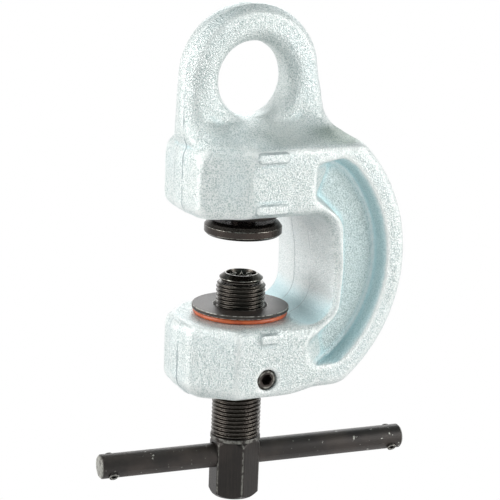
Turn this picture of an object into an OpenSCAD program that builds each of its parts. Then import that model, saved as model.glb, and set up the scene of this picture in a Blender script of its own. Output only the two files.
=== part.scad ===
// Screw lifting clamp: a drop-forged C frame with a lifting eye, a threaded bush with a screw and
// tee bar in the lower jaw, and a swivelling pad in the upper jaw. All sizes are in millimetres.
// The origin is the centre of the lifting eye and lies on the screw axis. +Z is up along the screw,
// +X points to the spine of the frame, and the side with the gauge marks faces -Y.

/* [Lifting eye] */
// Bore of the lifting eye
eye_d = 36; // [32:0.5:38]
// Straight land left in the middle of the bore
eye_land = 5; // [3:0.5:7]
// Outer radius of the eye's ring
ring_r = 36; // [34:0.5:38]
// Thickness of the ring
ring_t = 19.2; // [16:0.4:22]

/* [Frame] */
// Width of the frame over its two sides
frame_w = 64; // [58:1:70]
// Radius of the spine's back
spine_r = 75.8; // [74:0.2:80]
// Width of the rim round the side recess
rim_w = 11.6; // [9:0.2:14]
// Thickness of the web between the side recesses
web_t = 48; // [36:1:54]
// Radius of the forged edges
edge_r = 5; // [3:0.5:6]
// Die draft of the forging in degrees
draft = 5; // [3:0.5:6]

/* [Jaws] */
// Opening between the upper jaw and the seat of the bush
opening = 53.3; // [48:0.5:60]
// Throat depth from the screw axis
throat_x = 35.4; // [33:0.2:37]
// Height of the upper jaw
upper_h = 33.8; // [30:0.2:38]
// Height of the lower jaw
lower_h = 34.7; // [30:0.1:40]
// Front of the jaws from the screw axis
front_x = 35.6; // [34:0.2:38]

/* [Screw and bush] */
// Outside diameter of the screw
screw_d = 24; // [20:1:26]
// Diameter of the bush in the frame
bush_d = 36; // [34:1:40]
// Flange diameter of the bush
flange_d = 47; // [44:0.5:50]
// Flange thickness
flange_t = 1.85; // [1.5:0.05:3]
// Thickness of the seal ring's cord
seal_t = 2.6; // [2:0.1:3]
// Across flats of the screw's head
head_af = 22; // [19:0.5:23]
// Length of the screw below the seat of the bush
screw_drop = 63.4; // [55:0.2:75]
// Length of the head
head_len = 29.1; // [24:0.1:34]

/* [Tee bar] */
// Diameter of the tee bar
bar_d = 12; // [10:0.5:12.5]
// Length of the tee bar
bar_len = 158; // [130:1:180]
// How far the bar stands to the spine side at rest
bar_shift = 9.5; // [0:0.5:30]
// Turn of the bar about the screw axis at rest
bar_turn = -7; // [-30:1:30]
// Lean of the bar in its hole at rest
bar_lean = 1.2; // [0:0.1:1.5]
// Diameter of the roll pins
pin_d = 4.5; // [3:0.5:5]

/* [Pad] */
// Diameter of the swivel pad
pad_d = 37.6; // [34:0.2:40]
// Thickness of the swivel pad
pad_t = 7.2; // [6:0.2:9]
// Diameter of the pad's ball
ball_d = 18; // [16:0.5:19]

/* [Set screw] */
// Diameter of the set screw that locks the bush
set_d = 10; // [8:1:10]

/* [Part] */
// Which sub-part to build

/* [Hidden] */
$fn = 96;
eps = 0.02;

// Levels of the frame below the centre of the eye
top_z = -28;
throat_z = top_z - upper_h;
seat_z = throat_z - opening;
base_z = seat_z - lower_h;
half_w = frame_w / 2;
slope = tan(draft);
// Centre of the spine's back
spine_c = [-2.5, (throat_z + seat_z) / 2 + 3.4];
// The spine's underside lies a little above the base of the lower jaw
spine_base = base_z + 2.6;
// Flat ground along the flash line inside the throat
strip_w = 16;
// Running clearance of round pieces
run = 0.05;
// Radial play of the tee bar in the head
bar_play = 0.3;
far = -45;

// Bush and screw levels
flange_top = seat_z + seal_t + flange_t;
thread_top = seat_z + 15.8;
head_top = seat_z - screw_drop;
head_low = head_top - head_len;
bar_z = (head_top + head_low) / 2 + 6.2;
point_r = screw_d / 2 - 1.4;
point_top = thread_top + 4.4;
stem_r = 4;
stem_len = 16;
set_z = base_z + 9.4;
groove_r = bush_d / 2 - 1.5;

// Pad levels
pad_low = throat_z - 13.7;
pad_top = pad_low + pad_t;
ball_z = throat_z + 5.5;
ball_r = ball_d / 2;
neck_r = 5.8;
cup_r = 18.2;
cup_body_r = 14;
cup_h = 20;
cup_low = throat_z - 4.2;
snap_z = ball_z - ball_r * 0.52;

function mix(a, b, t) = a + (b - a) * t;

function unit(v) = v / norm(v);

// Points of the arc that rounds corner b of the path a, b, c
function corner(a, b, c, r, n) =
    let(u = unit(a - b),
        v = unit(c - b),
        half = acos(max(-1, min(1, u * v))) / 2,
        mid = b + unit(u + v) * r / sin(half),
        s = b + u * r / tan(half) - mid,
        e = b + v * r / tan(half) - mid,
        a0 = atan2(s[1], s[0]),
        da = atan2(s[0] * e[1] - s[1] * e[0], s * e))
    [for (i = [0:n]) mid + r * [cos(a0 + da * i / n), sin(a0 + da * i / n)]];

// Path through the corners [x, y, radius, steps], with its two ends kept as they are
function rounded(c) =
    let(m = len(c) - 1)
    [for (i = [0:m])
        let(p = [c[i][0], c[i][1]])
        each i == 0 || i == m || c[i][2] == 0
            ? [p]
            : corner([c[i - 1][0], c[i - 1][1]], p, [c[i + 1][0], c[i + 1][1]], c[i][2], c[i][3])];

// Points of a circle's arc
function arc(c, r, a, b, n) = [for (i = [0:n]) c + r * [cos(mix(a, b, i / n)), sin(mix(a, b, i / n))]];

// Moves each point of an open path to its left
function moved(p, d) =
    let(m = len(p) - 1)
    [for (i = [0:m])
        let(t = unit(p[min(i + 1, m)] - p[max(i - 1, 0)]))
        p[i] + d * [-t[1], t[0]]];

// Solid through a stack of closed loops with the same number of points
module loft(loops) {
    n = len(loops[0]);
    h = n / 2;
    m = len(loops) - 1;
    low = [for (i = [0:h - 2]) [i, i + 1, n - 2 - i, n - 1 - i]];
    high = [for (q = low) [for (k = [3:-1:0]) m * n + q[k]]];
    side = [for (j = [0:m - 1], i = [0:n - 1])
        [j * n + i, (j + 1) * n + i, (j + 1) * n + (i + 1) % n, j * n + (i + 1) % n]];
    polyhedron(points = [for (l = loops) each l], faces = concat(low, side, high), convexity = 6);
}

// Back of the frame from the top of the upper jaw, round the spine, to the base of the lower jaw.
// The grown outline is that of the parting plane, where the draft has added its share.
function back_path(grow) =
    let(r = spine_r + grow,
        top = top_z + grow,
        under = spine_base - grow,
        base = base_z - grow,
        xt = spine_c[0] + sqrt(r * r - pow(top - spine_c[1], 2)),
        xb = spine_c[0] + sqrt(r * r - pow(under - spine_c[1], 2)),
        at = atan2(top - spine_c[1], xt - spine_c[0]),
        ab = atan2(under - spine_c[1], xb - spine_c[0]))
    concat(
        [[far, top]],
        corner([far, top], [xt, top], [xt, top] + [sin(at), -cos(at)], 6, 3),
        arc(spine_c, r, at - 3, ab + 5, 30),
        corner([xb, under] + [-sin(ab), cos(ab)], [xb, under], [20, under], 14, 4),
        corner([xb, under], [27, under], [15, base], 20, 2),
        corner([27, under], [15, base], [far, base], 20, 2),
        [[far, base]]);

// Inside of the frame from the front of the upper jaw, round the throat, to the front of the seat
function throat_path(grow) =
    let(x = throat_x - grow,
        top = throat_z - grow,
        fillet = 11 + grow * 1.6)
    concat(
        [for (i = [0:5]) [mix(far, 14, i / 6), top]],
        corner([far, top], [x - 4.4, top], [x, throat_z - 26], 9 + grow, 12),
        corner([x - 4.4, top], [x, throat_z - 26], [x, seat_z], 40, 4),
        [for (i = [1:3]) [x, mix(throat_z - 30, seat_z + 16, i / 4)]],
        corner([x, throat_z], [x, seat_z], [far, seat_z], fillet, 12),
        [for (i = [1:8]) [mix(12, far, i / 8), seat_z]]);

// One cross-section of the C at a distance y from the parting plane
function frame_loop(y, cut, strip) =
    let(grow = (half_w - abs(y)) * slope,
        back = moved(back_path(grow), -cut),
        throat = moved(throat_path(strip ? half_w * slope - strip_w / 2 * slope - 0.3 : grow), cut))
    [for (p = back) [p[0], y, p[1]], for (i = [len(throat) - 1:-1:0]) [throat[i][0], y, throat[i][1]]];

// Offsets [y, cut] of the rounded side edge
function edge_steps(n) =
    [for (i = [0:n]) [half_w - edge_r * (1 - sin(90 * i / n)), edge_r * (1 - cos(90 * i / n))]];

module frame_c() {
    side = edge_steps(4);
    half = [for (i = [4:-1:0]) side[i]];
    loft([
        for (s = half) frame_loop(-s[0], s[1], false),
        frame_loop(-strip_w / 2 - 0.2, 0, false),
        frame_loop(-strip_w / 2, 0, true),
        frame_loop(0, 0, true),
        frame_loop(strip_w / 2, 0, true),
        frame_loop(strip_w / 2 + 0.2, 0, false),
        for (s = side) frame_loop(s[0], s[1], false)]);
}

// Plan outline of the jaws' front, with its corners moved back by an edge rounding
function front_loop(z, back, b, side_x, r) =
    let(w = half_w - 0.05,
        half = rounded([
            [-front_x + back, -1],
            [-front_x + 1.6 + back, -b, r, 3],
            [side_x + back, -w, 4, 3],
            [120, -w]]))
    [for (p = half) [p[0], -p[1], z], for (i = [len(half) - 1:-1:0]) [half[i][0], half[i][1], z]];

// Space that the jaws' front stays within: upper jaw, gap, lower jaw
module front_space() {
    up = [[6, 9], [-1, 4], [-3, 1.8], [-5, 0.6], [-8, 0]];
    up_low = [[5, 0], [3, 0.3], [1.4, 1.2], [0.4, 2.6], [-3.5, 6.5]];
    low = [[1, 4], [-0.4, 2.4], [-1.6, 1], [-4, 0]];
    low_low = [[6, 0], [4, 0.6], [2, 2], [0.4, 4.2], [-3.5, 8]];
    loft([
        for (s = up) front_loop(top_z + s[0], s[1], 19, -12, 4),
        for (s = up_low) front_loop(throat_z + s[0], s[1], 19, -12, 4),
        for (s = low) front_loop(seat_z + s[0], s[1], 13.5, -16.5, 4),
        for (s = low_low) front_loop(base_z + s[0], s[1], 13.5, -16.5, 4)]);
}

// Neck between the eye and the upper jaw, as a stack of level sections that flare out in a hollow curve.
// u runs from 0 where the flare starts to 1 at the jaw's top.
flare_z = -11;

function flare(u) = (1 - sqrt(1 - pow(0.94 * u, 2))) / (1 - sqrt(1 - 0.94 * 0.94));

function neck_loop(z) =
    let(u = max(0, min(1, (flare_z - z) / (flare_z - top_z))),
        f = flare(u),
        sunk = max(0, (z + 6) * 0.13),
        side = mix(ring_t / 2 - sunk, half_w - 4.4, f),
        v = max(0, min(1, (-eye_d / 2 - z) / 4)),
        mid = z > -eye_d / 2 ? eye_land / 2 - 0.3 : side * (0.25 + 0.75 * sqrt(v)),
        fx = mix(ring_r - 0.3 - sunk, front_x - 2, pow(f, 1.5)),
        fb = mix(5, 12.5, f),
        fs = -fx + (side - fb) * mix(0.9, 1.6, f),
        rx = ring_r + 0.2 - z * 0.16 - sunk + 11 * flare(max(0, (-13 - z) / (-13 - top_z))),
        rb = mix(5, 8, f),
        turn = rx - mix(4.5, 12, f),
        left = max(-27, fs + 2.5),
        across = concat([for (i = [0:4]) mix(left, max(-12, left + 2), i / 4)],
            [for (i = [0:4]) mix(12, 27, i / 4)]),
        stations = [for (x = across) [x, -mix(mid, side, max(0, min(1, (abs(x) - eye_d / 2) / 7)))]],
        half = concat(
            [[-fx - fb * slope, -1]],
            corner([-fx, -1], [-fx, -fb], [fs, -side], 3, 3),
            corner([-fx, -fb], [fs, -side], [30, -side], 3, 3),
            stations,
            corner([0, -side], [turn, -side], [rx, -rb], 3, 3),
            corner([turn, -side], [rx, -rb], [rx, -1], 3, 3),
            [[rx + rb * slope, -1]]))
    [for (p = half) [p[0], -p[1], z], for (i = [len(half) - 1:-1:0]) [half[i][0], half[i][1], z]];

module neck() {
    low = neck_loop(top_z);
    levels = [3, -2, -6, flare_z, -13.5, -16, -18, -19, -20, -21.5, -23, -24.5, -26, top_z + 0.4];
    loft([for (z = levels) neck_loop(z),
        [for (p = low) [p[0] * 0.9, p[1] * 0.9, top_z - 8]]]);
}

// Ring of the eye: a rounded section turned about the bore, with a hollowed mouth on each side
module eye_ring() {
    t = ring_t / 2;
    land = eye_land / 2;
    mouth = t - land;
    half = concat(
        [[eye_d / 2 - 1, land]],
        corner([eye_d / 2, 0], [eye_d / 2, t], [ring_r, t], mouth, 8),
        corner([eye_d / 2, t], [ring_r - 4, t - 0.8], [ring_r - 0.6, t - 5], 4, 4),
        [[ring_r - 0.6, t - 5.4], [ring_r, 1]]);
    rotate([90, 0, 0])
        rotate_extrude()
            polygon(concat(half, [for (i = [len(half) - 1:-1:0]) [half[i][0], -half[i][1]]]));
}

// Recess in one side of the spine. Its long walls are steep, and its two ends slope gently.
function recess_loop(y, wall, out) =
    let(r = spine_r - rim_w - wall * 2.2,
        e = spine_c,
        outer = moved(concat(
            [[22.6 + wall * 9, e[1] + 47.4]],
            corner([22, e[1] + 47], [e[0] + r * cos(51) - 1, e[1] + r * sin(51)], e + r * [cos(40), sin(40)], 7, 4),
            arc(e, r, 45, -45, 20),
            corner(e + r * [cos(40), -sin(40)], e + r * [cos(51), -sin(51)], [24, e[1] - 50], 6, 4),
            [[24.4 + wall * 9, e[1] - 50.2 + wall * 1.5]]), out),
        inner = moved(concat(
            [[22.5 + wall * 9, e[1] + 45.6]],
            corner([22.5, e[1] + 45], [22.4 + wall * 4, e[1] + 32], [37, e[1] + 20], 4, 5),
            corner([22.4, e[1] + 32], [38.2 + wall * 2, e[1] + 20], [39.2, e[1]], 12, 6),
            [for (i = [1:5]) [39.4 + wall * 2 - 0.15 * pow(i - 2.8, 2), e[1] + 9 - i * 5]],
            corner([39.6, e[1] + 8], [38.4 + wall * 2, e[1] - 27], [21.5, e[1] - 38.6], 14, 6),
            corner([37, e[1] - 28], [21.2 + wall * 10, e[1] - 38.8 + wall * 2], [24.2 + wall * 9, e[1] - 49], 4, 5),
            [[24.2 + wall * 9, e[1] - 48.6 + wall]]), -out))
    [for (p = outer) [p[0], y, p[1]], for (i = [len(inner) - 1:-1:0]) [inner[i][0], y, inner[i][1]]];

module recess() {
    loft([recess_loop(-half_w - 2, 0, 3.4),
        recess_loop(-half_w, 0, 1.6),
        recess_loop(-half_w + 1, 0.05, 0.6),
        recess_loop(-half_w + 2.4, 0.15, 0),
        recess_loop(-web_t / 2, 1, 0)]);
}

// Raised gauge bar on the marked side
module gauge_bar(x, z, w) {
    translate([x, -half_w + 0.6, z])
        rotate([90, 0, 0])
            linear_extrude(1.8)
                hull() {
                    for (s = [-1, 1], t = [-1, 1])
                        translate([s * (w / 2 - 1.2), t * 0.9])
                            circle(1.2, $fn = 24);
                }
}

// Drop-forged and machined steel frame
module forged_body() {
    color([0.84, 0.88, 0.89])
        difference() {
            union() {
                difference() {
                    intersection() {
                        frame_c();
                        front_space();
                    }
                    recess();
                    mirror([0, 1, 0])
                        recess();
                }
                neck();
                eye_ring();
                gauge_bar(-1.8, top_z - 4.7, 15.6);
                gauge_bar(-1.8, throat_z + 4.6, 16.4);
                gauge_bar(-0.2, seat_z - 4.8, 9.4);
            }
            // bore of the eye
            rotate([90, 0, 0])
                cylinder(d = eye_d, h = frame_w, center = true);
            // bore for the threaded bush, and the spot face round its flange
            translate([0, 0, base_z - 4])
                cylinder(d = bush_d, h = lower_h + 8);
            translate([0, 0, seat_z])
                cylinder(d = flange_d + 3, h = 22);
            // flat face under the lower jaw
            translate([0, 0, base_z - 8])
                cylinder(r = 26, h = 8);
            // pocket for the pad's cup
            translate([0, 0, throat_z - 6])
                cylinder(r = cup_body_r, h = cup_h + 6);
            translate([0, 0, throat_z - 6])
                cylinder(r = cup_r + 1.4, h = 6);
            // threaded hole for the set screw, drawn plain
            translate([0, -half_w - 1, set_z])
                rotate([-90, 0, 0])
                    cylinder(d = set_d + 0.1, h = half_w - bush_d / 2 + 4);
            translate([0, -half_w - 1, set_z])
                rotate([-90, 0, 0])
                    cylinder(r1 = set_d / 2 + 1.4, r2 = set_d / 2 - 0.2, h = 2);
        }
}

// Threaded bush: flange on the seat, plain body in the lower jaw, thread drawn as a plain bore
module threaded_bush() {
    color([0.13, 0.12, 0.12])
        difference() {
            union() {
                translate([0, 0, flange_top - flange_t])
                    rotate_extrude()
                        polygon([[0, 0], [flange_d / 2 - 0.4, 0], [flange_d / 2, 0.4], [flange_d / 2, flange_t - 0.4],
                            [flange_d / 2 - 0.4, flange_t], [0, flange_t]]);
                translate([0, 0, seat_z + eps])
                    cylinder(r = flange_d / 2 - seal_t - 1, h = seal_t + 0.4);
                translate([0, 0, base_z + 0.4])
                    cylinder(r = bush_d / 2 - run, h = lower_h);
            }
            // groove that takes the set screw's end
            translate([0, 0, set_z - set_d / 2 - 0.3])
                difference() {
                    cylinder(r = bush_d / 2 + 1, h = set_d + 0.6);
                    translate([0, 0, -1])
                        cylinder(r = groove_r, h = set_d + 3);
                }
            translate([0, 0, base_z - 1])
                cylinder(r = screw_d / 2 + run, h = lower_h + 12);
            translate([0, 0, flange_top - 1])
                cylinder(r1 = screw_d / 2, r2 = screw_d / 2 + 1.3, h = 1 + eps);
        }
}

// Elastic seal ring between the flange and the seat
module seal_ring() {
    color([0.9, 0.42, 0.2])
        translate([0, 0, seat_z + seal_t / 2])
            rotate_extrude()
                translate([flange_d / 2 - 0.5 - seal_t / 2, 0])
                    circle(d = seal_t - 0.04);
}

// Set screw with a hexagon socket, in the side of the lower jaw
module bush_set_screw() {
    color([0.14, 0.13, 0.13])
        translate([0, -half_w + 1.6, set_z])
            rotate([-90, 0, 0])
                difference() {
                    rotate_extrude()
                        polygon([[0, 0], [set_d / 2 - 0.8, 0], [set_d / 2, 0.8],
                            [set_d / 2, half_w - groove_r - 3.6], [set_d / 2 - 1.5, half_w - groove_r - 1.9],
                            [0, half_w - groove_r - 1.9]]);
                    translate([0, 0, -1])
                        cylinder(d = 5 / cos(30), h = 6, $fn = 6);
                }
}

// Clamp screw: thread drawn as its crest cylinder, collar and hexagon head with the tee bar's hole
module clamp_screw() {
    r = screw_d / 2;
    color([0.16, 0.15, 0.15])
        difference() {
            union() {
                translate([0, 0, head_top])
                    rotate_extrude()
                        polygon([[0, 0], [r + 0.3, 0], [r + 0.3, 1.6], [r, 2.2], [r, thread_top - head_top - 1.2],
                            [r - 1.2, thread_top - head_top], [0, thread_top - head_top]]);
                intersection() {
                    translate([0, 0, head_low])
                        rotate([0, 0, bar_turn + 30])
                            cylinder(d = head_af / cos(30), h = head_len + 0.1, $fn = 6);
                    translate([0, 0, head_low])
                        rotate_extrude()
                            polygon([[0, 0], [head_af / 2 - 0.8, 0], [r + 0.35, 2.2], [r + 0.35, head_len - 1],
                                [r - 0.7, head_len + 0.1], [0, head_len + 0.1]]);
                }
            }
            translate([0, 0, bar_z])
                rotate([0, 90, bar_turn])
                    cylinder(r = bar_d / 2 + bar_play, h = 60, center = true);
            // blind hole for the stem of the point, with the snap ring's groove
            translate([0, 0, thread_top - stem_len - 0.5])
                cylinder(r = stem_r + run, h = stem_len + 2);
            translate([0, 0, thread_top - stem_len + 2.9])
                cylinder(r = stem_r + 1.2, h = 1.6);
        }
}

// Hardened point that bites into the load. It stays still while the screw turns behind it.
module screw_point() {
    h = point_top - thread_top - 0.4;
    floor_h = h - 3;
    color([0.2, 0.18, 0.17])
        difference() {
            union() {
                translate([0, 0, thread_top + 0.4])
                    rotate_extrude()
                        polygon([[0, 0], [point_r - 1, 0], [point_r - 1, 0.6], [point_r, 1.5], [point_r, 1.9],
                            [point_r - 2.6, h], [point_r - 3.2, h], [point_r - 3.8, floor_h], [0, floor_h]]);
                // teeth that stand on the floor of the cup
                for (i = [0:7])
                    translate([0, 0, thread_top + 0.4 + floor_h])
                        rotate([0, 0, 62 + i * 45])
                            translate([3.4, 0, 0])
                                rotate([90, 0, 90])
                                    linear_extrude(point_r - 7)
                                        polygon([[-1.8, -0.2], [1.8, -0.2], [0, 1.7]]);
                translate([0, 0, thread_top - stem_len])
                    cylinder(r = stem_r, h = stem_len + 1);
            }
            translate([0, 0, thread_top - stem_len + 3])
                difference() {
                    cylinder(r = stem_r + 1, h = 1.4);
                    translate([0, 0, -1])
                        cylinder(r = stem_r - 0.8, h = 4);
                }
        }
}

// Wire ring that keeps the point in the screw
module point_snap_ring() {
    color([0.5, 0.5, 0.5])
        translate([0, 0, thread_top - stem_len + 3.7])
            rotate_extrude()
                translate([stem_r - 0.15, 0])
                    circle(0.6);
}

// Tee bar with chamfered ends and a cross hole for a roll pin near each end
module tee_bar() {
    r = bar_d / 2;
    color([0.17, 0.16, 0.15])
        translate([0, 0, bar_z])
            rotate([0, -bar_lean, bar_turn])
                translate([bar_shift, 0, 0])
                    difference() {
                        rotate([0, 90, 0])
                            translate([0, 0, -bar_len / 2])
                                rotate_extrude()
                                    polygon([[0, 0], [r - 1, 0], [r, 1], [r, bar_len - 1], [r - 1, bar_len],
                                        [0, bar_len]]);
                        for (s = [-1, 1])
                            translate([s * (bar_len / 2 - 6), 0, 0])
                                rotate([90 + 38, 0, 0])
                                    cylinder(d = pin_d, h = bar_d * 2, center = true);
                    }
}

// Roll pin: a slotted spring tube that stops the bar at the head
module roll_pin(s) {
    color([0.2, 0.19, 0.18])
        translate([0, 0, bar_z])
            rotate([0, -bar_lean, bar_turn])
                translate([bar_shift + s * (bar_len / 2 - 6), 0, 0])
                    rotate([90 + 38, 0, 0])
                        difference() {
                            translate([0, 0, -bar_d / 2 - 0.3])
                                cylinder(d = pin_d - 0.02, h = bar_d + 1.2);
                            cylinder(d = pin_d - 2, h = bar_d + 4, center = true);
                            translate([pin_d / 2, 0, 0])
                                cube([pin_d, 0.6, bar_d + 4], center = true);
                        }
}

module roll_pin_left() {
    roll_pin(-1);
}

module roll_pin_right() {
    roll_pin(1);
}

// Cup that is pressed into the upper jaw and holds the pad's ball
module pad_seat() {
    gap = 0.3;
    color([0.1, 0.1, 0.1])
        difference() {
            union() {
                translate([0, 0, throat_z + 0.02])
                    cylinder(r = cup_body_r - run, h = cup_h - 0.1);
                translate([0, 0, cup_low])
                    rotate_extrude()
                        polygon([[0, 0], [cup_r - 1, 0], [cup_r, 1], [cup_r, throat_z - cup_low],
                            [0, throat_z - cup_low]]);
                translate([0, 0, throat_z - 1])
                    cylinder(r = cup_body_r - run, h = 3);
            }
            translate([0, 0, ball_z])
                sphere(ball_r + gap);
            translate([0, 0, cup_low - 1])
                cylinder(r = ball_r + gap, h = ball_z - cup_low + 1);
            translate([0, 0, snap_z - 0.9])
                cylinder(r = ball_r + 1.6, h = 1.8);
        }
}

// Wire ring that keeps the ball in the cup
module pad_snap_ring() {
    color([0.5, 0.5, 0.5])
        translate([0, 0, snap_z])
            rotate_extrude()
                translate([ball_r + 0.2, 0])
                    circle(0.75);
}

// Swivel pad: disc with a ball on its back
module swivel_pad() {
    r = pad_d / 2;
    color([0.09, 0.09, 0.09])
        union() {
            translate([0, 0, pad_low])
                rotate_extrude()
                    polygon(concat([[0, 0], [r - 1.2, 0], [r, 1.2], [r, 3.6]],
                        corner([r, 3.6], [r, pad_t], [0, pad_t], 3.2, 6),
                        [[0, pad_t]]));
            translate([0, 0, pad_top - 1])
                cylinder(r = neck_r, h = ball_z - pad_top + 1);
            translate([0, 0, ball_z])
                sphere(ball_r);
        }
}

forged_body();
threaded_bush();
seal_ring();
bush_set_screw();
clamp_screw();
screw_point();
point_snap_ring();
tee_bar();
roll_pin_left();
roll_pin_right();
pad_seat();
pad_snap_ring();
swivel_pad();
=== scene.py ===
import math

import bmesh
import bpy
import numpy as np
from mathutils import Matrix, Vector, noise


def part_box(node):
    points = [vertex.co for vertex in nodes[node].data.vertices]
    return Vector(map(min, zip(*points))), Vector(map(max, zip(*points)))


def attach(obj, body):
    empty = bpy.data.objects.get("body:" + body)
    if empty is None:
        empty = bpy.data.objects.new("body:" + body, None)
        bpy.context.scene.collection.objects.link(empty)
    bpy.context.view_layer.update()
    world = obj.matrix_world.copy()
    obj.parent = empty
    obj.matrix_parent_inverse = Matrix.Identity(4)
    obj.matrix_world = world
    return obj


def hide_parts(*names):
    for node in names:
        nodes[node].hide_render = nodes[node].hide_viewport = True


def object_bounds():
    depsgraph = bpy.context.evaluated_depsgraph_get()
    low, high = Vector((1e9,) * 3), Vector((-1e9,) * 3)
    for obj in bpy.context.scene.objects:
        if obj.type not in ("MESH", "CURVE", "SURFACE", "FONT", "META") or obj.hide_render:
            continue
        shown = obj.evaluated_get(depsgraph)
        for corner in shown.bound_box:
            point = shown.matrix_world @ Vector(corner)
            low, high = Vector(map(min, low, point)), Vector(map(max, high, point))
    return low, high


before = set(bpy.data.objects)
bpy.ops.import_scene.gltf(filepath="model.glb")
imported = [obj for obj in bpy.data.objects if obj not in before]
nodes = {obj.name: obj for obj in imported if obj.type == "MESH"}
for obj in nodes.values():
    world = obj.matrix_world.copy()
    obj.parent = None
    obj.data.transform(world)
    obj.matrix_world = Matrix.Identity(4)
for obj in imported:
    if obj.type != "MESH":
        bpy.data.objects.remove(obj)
cad_low, cad_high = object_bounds()
MM = 0.001

# Camera
# A long lens from a little above the clamp, turned to its front and to the side with the gauge bars,
# and tipped a little, as a catalogue photograph of it is taken.
CAMERA_YAW = math.radians(27.657)
CAMERA_PITCH = math.radians(13.658)
CAMERA_ROLL = math.radians(2.23)
CAMERA_PLACE = Vector((-446.21, -859.58, 151.61)) * MM
CAMERA_LENS = 148.92
CAMERA_REACH = 50
SENSOR = 36

level = Vector((math.cos(CAMERA_YAW), -math.sin(CAMERA_YAW), 0))
ahead = Vector((
    math.sin(CAMERA_YAW) * math.cos(CAMERA_PITCH),
    math.cos(CAMERA_YAW) * math.cos(CAMERA_PITCH),
    -math.sin(CAMERA_PITCH)))
upright = level.cross(ahead)
rightward = level * math.cos(CAMERA_ROLL) + upright * math.sin(CAMERA_ROLL)
axes = Matrix((rightward, rightward.cross(ahead), -ahead)).transposed()
camera = bpy.data.objects.new("camera", bpy.data.cameras.new("camera"))
camera.data.lens = CAMERA_LENS
camera.data.sensor_width = SENSOR
camera.data.clip_end = CAMERA_REACH
camera.matrix_world = Matrix.Translation(CAMERA_PLACE) @ axes.to_4x4()
bpy.context.scene.collection.objects.link(camera)
bpy.context.scene.camera = camera
bpy.context.scene.view_settings.view_transform = "Standard"


# Studio
# A white floor under the clamp, four soft boxes round it, and a pale room that is dim above and behind
# the camera, which leaves the facets that look up or at the lens a shade darker than the rest.
FLOOR_GAP = 18 * MM
FLOOR_SIZE = 14.0
FLOOR_WHITE = (0.95, 0.96, 0.96, 1)
ROOM_PALE = (0.86, 0.90, 0.90, 1)
ROOM_DIM = (0.27, 0.36, 0.38, 1)
ROOM_LIGHT = 0.66
CAMERA_SIDE = (-math.sin(CAMERA_YAW), -math.cos(CAMERA_YAW), 0.1)


def place(name, mesh):
    """A new object with this mesh, at the origin."""
    piece = bpy.data.objects.new(name, mesh)
    bpy.context.scene.collection.objects.link(piece)
    return piece


def new_material(name):
    """A node material, its tree and its Principled shader."""
    made = bpy.data.materials.new(name)
    made.use_nodes = True
    return made, made.node_tree, made.node_tree.nodes["Principled BSDF"]


def sum_up(tree, operation, first, second=0, third=None, clamp=False):
    """A Math node on numbers or sockets, and its output."""
    made = tree.nodes.new("ShaderNodeMath")
    made.operation = operation
    made.use_clamp = clamp
    for socket, value in zip(made.inputs, (first, second, third)):
        if isinstance(value, (int, float)):
            socket.default_value = value
        elif value is not None:
            tree.links.new(value, socket)
    return made.outputs[0]


def ranged(tree, value, low, high, start=0.0, end=1.0):
    """A value brought from low..high to start..end with soft ends."""
    made = tree.nodes.new("ShaderNodeMapRange")
    made.interpolation_type = "SMOOTHSTEP"
    for label, number in (("From Min", low), ("From Max", high), ("To Min", start), ("To Max", end)):
        made.inputs[label].default_value = number
    tree.links.new(value, made.inputs["Value"])
    return made.outputs["Result"]


def mixed(tree, share, first, second, kind="MIX"):
    """A colour between two colours or sockets."""
    made = tree.nodes.new("ShaderNodeMix")
    made.data_type = "RGBA"
    made.blend_type = kind
    for socket, value in ((made.inputs[0], share), (made.inputs[6], first), (made.inputs[7], second)):
        if isinstance(value, (int, float, tuple)):
            socket.default_value = value
        else:
            tree.links.new(value, socket)
    return made.outputs[2]


def white_rays(tree, mirrored):
    """The rays that see plain white: the camera's, those through glass, and a share of the mirrored ones."""
    path = tree.nodes.new("ShaderNodeLightPath")
    straight = sum_up(tree, "MAXIMUM", path.outputs["Is Camera Ray"], path.outputs["Is Transmission Ray"])
    glossy = sum_up(tree, "MULTIPLY", path.outputs["Is Glossy Ray"], mirrored)
    return sum_up(tree, "MAXIMUM", straight, glossy)


def surfaced(tree, share, first, second, sink):
    """Ends a tree in a mix of two shaders."""
    blend = tree.nodes.new("ShaderNodeMixShader")
    tree.links.new(share, blend.inputs[0])
    tree.links.new(first.outputs[0], blend.inputs[1])
    tree.links.new(second.outputs[0], blend.inputs[2])
    tree.links.new(blend.outputs[0], tree.nodes[sink].inputs["Surface"])


half = FLOOR_SIZE / 2
floor_z = cad_low.z - FLOOR_GAP
corners = [(x * half, y * half, floor_z) for x, y in ((-1, -1), (1, -1), (1, 1), (-1, 1))]
sheet = bpy.data.meshes.new("floor")
sheet.from_pydata(corners, [], [(0, 1, 2, 3)])
floor = place("floor", sheet)
floor_look, tree, shader = new_material("floor")
shader.inputs["Base Color"].default_value = FLOOR_WHITE
shader.inputs["Roughness"].default_value = 0.9
shader.inputs["Specular IOR Level"].default_value = 0.1
surfaced(tree, white_rays(tree, 1.0), shader, tree.nodes.new("ShaderNodeEmission"), "Material Output")
floor.data.materials.append(floor_look)

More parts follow.
